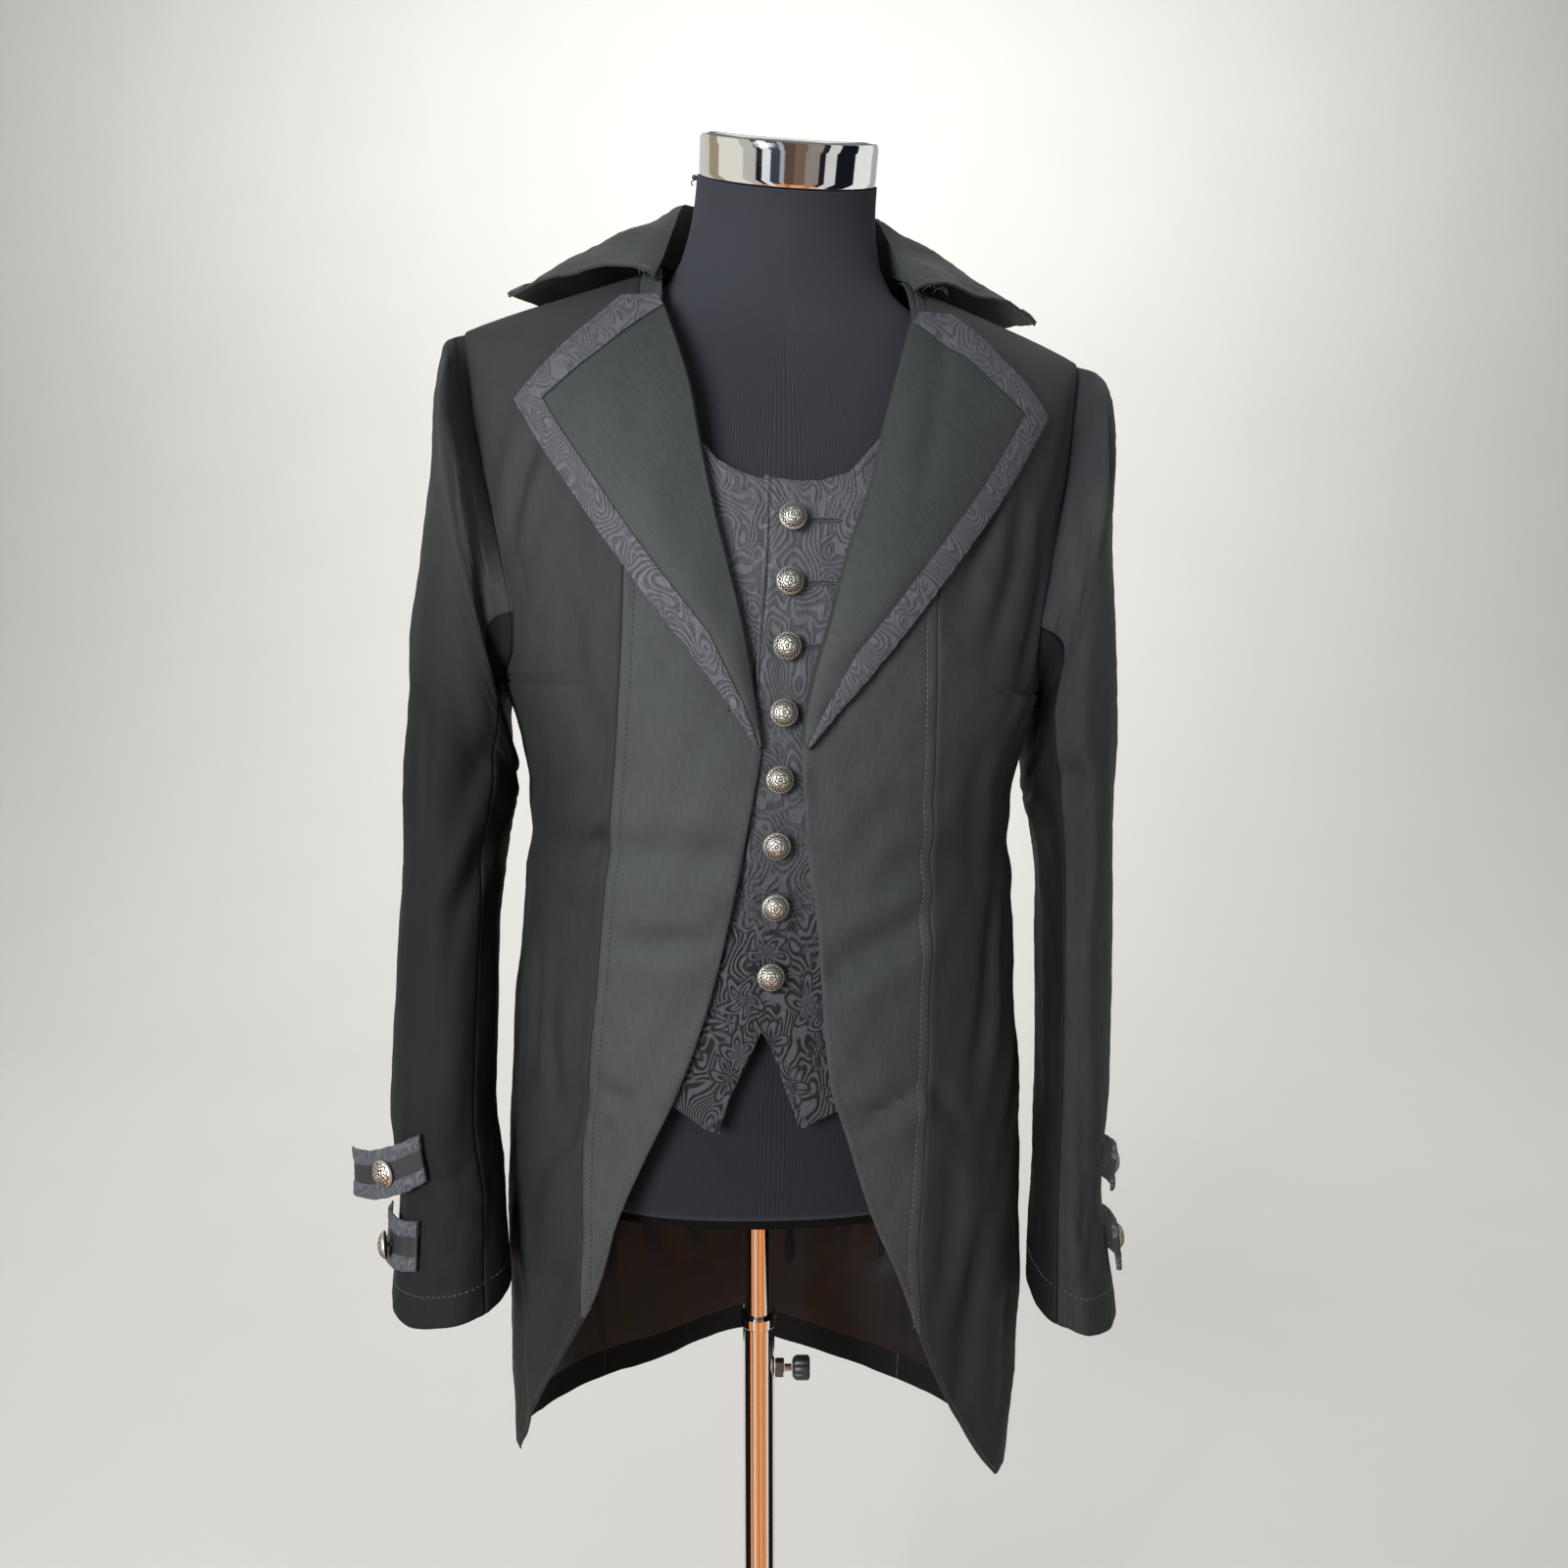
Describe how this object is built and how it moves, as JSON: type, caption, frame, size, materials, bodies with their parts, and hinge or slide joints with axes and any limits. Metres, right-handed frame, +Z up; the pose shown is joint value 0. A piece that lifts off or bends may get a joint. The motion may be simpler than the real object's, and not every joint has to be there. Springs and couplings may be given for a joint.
{
  "type": "tailcoat jacket on dress form stand",
  "caption": "Long black cutaway jacket with wide lapels, a mock waistcoat front and tabbed cuffs, worn on a limbless dress form that slides and turns on a round-based stand.",
  "frame": {"origin": "centre of the base's underside, on the pole's axis", "axes": "+Z up the pole, the garment's front faces -Y, the wearer's left is at +X"},
  "size_m": [0.5759, 0.3, 1.573],
  "materials": {
    "twill": "matte",
    "jacquard": "matte",
    "satin": "satin",
    "jersey": "matte",
    "board": "matte",
    "knob": "satin",
    "buttons": "satin",
    "chrome": "polished"
  },
  "bodies": {
    "stand": {"base_plate": "chrome", "base_hub": "chrome", "lower_tube": "chrome", "tube_ring": "chrome", "clamp_nut": "chrome"},
    "knob": {"clamp_screw": "chrome", "clamp_knob": "knob"},
    "mast": {"upper_tube": "chrome"},
    "form": {"form_torso": "jersey", "form_board": "board", "neck_cap": "chrome", "form_socket": "chrome", "front_left": "twill", "front_right": "twill", "side_front_left": "twill", "side_front_right": "twill", "side_back_left": "twill", "side_back_right": "twill", "back_left": "twill", "back_right": "twill", "back_lining": "satin", "top_sleeve_left": "twill", "top_sleeve_right": "twill", "under_sleeve_left": "twill", "under_sleeve_right": "twill", "collar": "twill", "collar_trim": "jacquard", "lapel_left": "twill", "lapel_right": "twill", "lapel_trim_left": "jacquard", "lapel_trim_right": "jacquard", "vest_front_left": "jacquard", "vest_front_right": "jacquard", "vest_button_1": "buttons", "vest_button_2": "buttons", "vest_button_3": "buttons", "vest_button_4": "buttons", "vest_button_5": "buttons", "vest_button_6": "buttons", "vest_button_7": "buttons", "vest_button_8": "buttons", "cuff_tab_left_1": "twill", "cuff_tab_left_2": "twill", "cuff_tab_right_1": "twill", "cuff_tab_right_2": "twill", "cuff_button_left_1": "buttons", "cuff_button_left_2": "buttons", "cuff_button_right_1": "buttons", "cuff_button_right_2": "buttons"}
  },
  "joints": [
    {"name": "height_slide", "type": "slide", "parent": "stand", "child": "mast", "axis": [0, 0, 1], "range_m": [-0.07, 0.2]},
    {"name": "form_swivel", "type": "hinge", "parent": "mast", "child": "form", "pos_m": [0, 0, 0.776], "axis": [0, 0, 1], "continuous": true},
    {"name": "knob_turn", "type": "hinge", "parent": "stand", "child": "knob", "pos_m": [0.0265, 0, 0.627], "axis": [1, 0, 0], "continuous": true}
  ]
}
